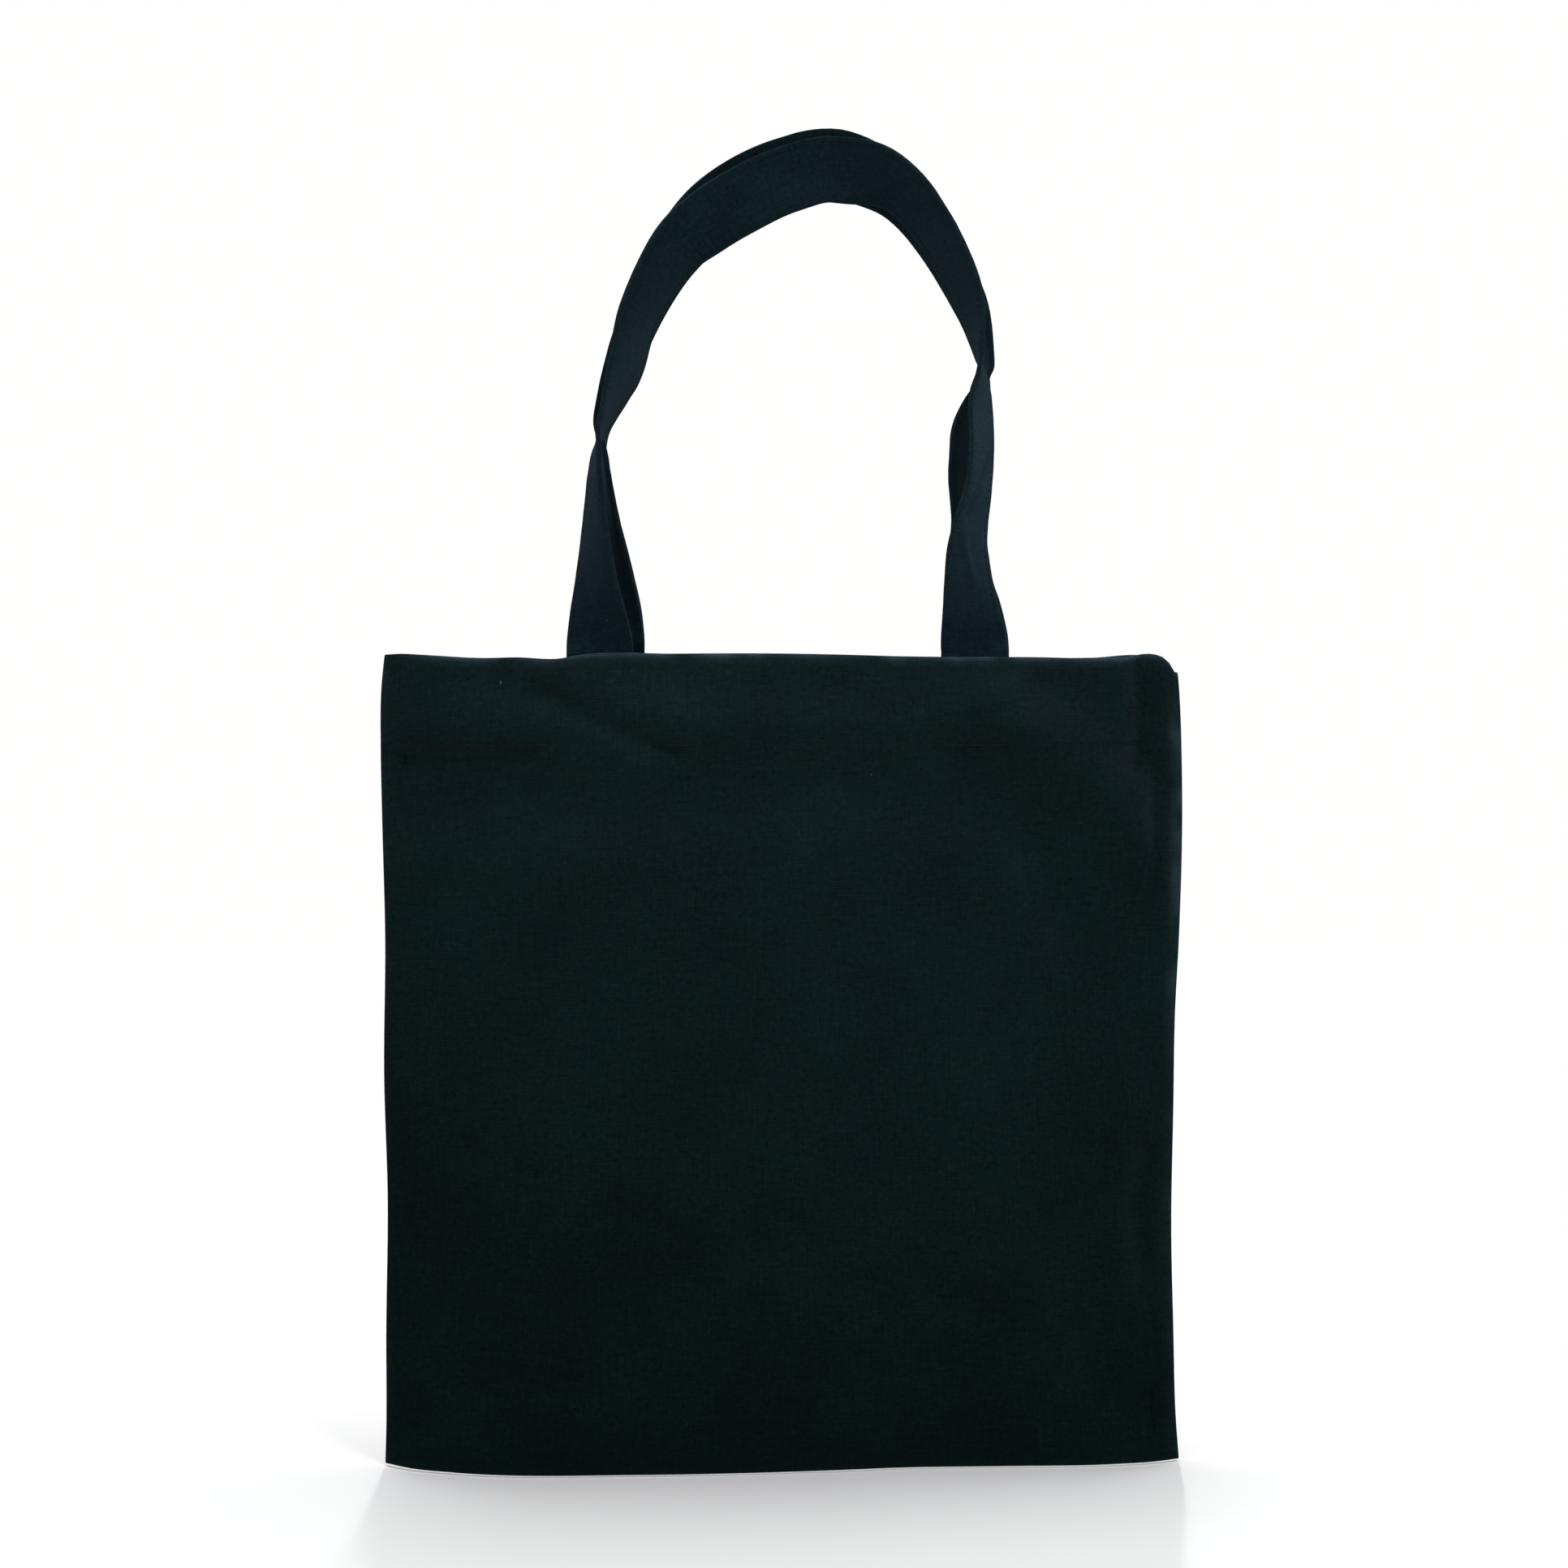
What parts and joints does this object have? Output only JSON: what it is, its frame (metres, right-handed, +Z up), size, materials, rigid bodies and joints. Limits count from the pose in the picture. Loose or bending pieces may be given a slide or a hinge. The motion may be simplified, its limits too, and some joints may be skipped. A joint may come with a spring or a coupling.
{
  "type": "canvas tote bag",
  "caption": "Flat canvas tote bag with an open mouth, a turned-in hem and two strap handles that fold down.",
  "frame": {"origin": "top of the hand opening under the handles, over the middle of the bag, where a hook or a hand carries it", "axes": "+Z up, +X to the right seen from the front, -Y out of the front panel"},
  "size_m": [0.38, 0.0678, 0.6411],
  "materials": {
    "canvas": "matte",
    "strap_canvas": "matte",
    "sewing_thread": "satin",
    "overlock_thread": "satin"
  },
  "bodies": {
    "bag": {"front_panel": "canvas", "back_panel": "canvas", "front_hem": "canvas", "back_hem": "canvas", "left_seam_allowance": "canvas", "right_seam_allowance": "canvas", "bottom_seam_allowance": "canvas", "left_seam_overlock": "overlock_thread", "right_seam_overlock": "overlock_thread", "bottom_seam_overlock": "overlock_thread", "front_hem_stitching": "sewing_thread", "back_hem_stitching": "sewing_thread", "front_left_box_stitch": "sewing_thread", "front_right_box_stitch": "sewing_thread", "back_left_box_stitch": "sewing_thread", "back_right_box_stitch": "sewing_thread", "front_left_strap_end": "strap_canvas", "front_right_strap_end": "strap_canvas", "back_left_strap_end": "strap_canvas", "back_right_strap_end": "strap_canvas"},
    "front_loop": {"front_handle": "strap_canvas", "front_handle_stitching": "sewing_thread"},
    "back_loop": {"back_handle": "strap_canvas", "back_handle_stitching": "sewing_thread"}
  },
  "joints": [
    {"name": "front_handle_fold", "type": "hinge", "parent": "bag", "child": "front_loop", "pos_m": [0, -0.008, -0.208], "axis": [1, 0, 0], "range_deg": [0, 135]},
    {"name": "back_handle_fold", "type": "hinge", "parent": "bag", "child": "back_loop", "pos_m": [0, 0.008, -0.208], "axis": [-1, 0, 0], "range_deg": [0, 135]}
  ]
}
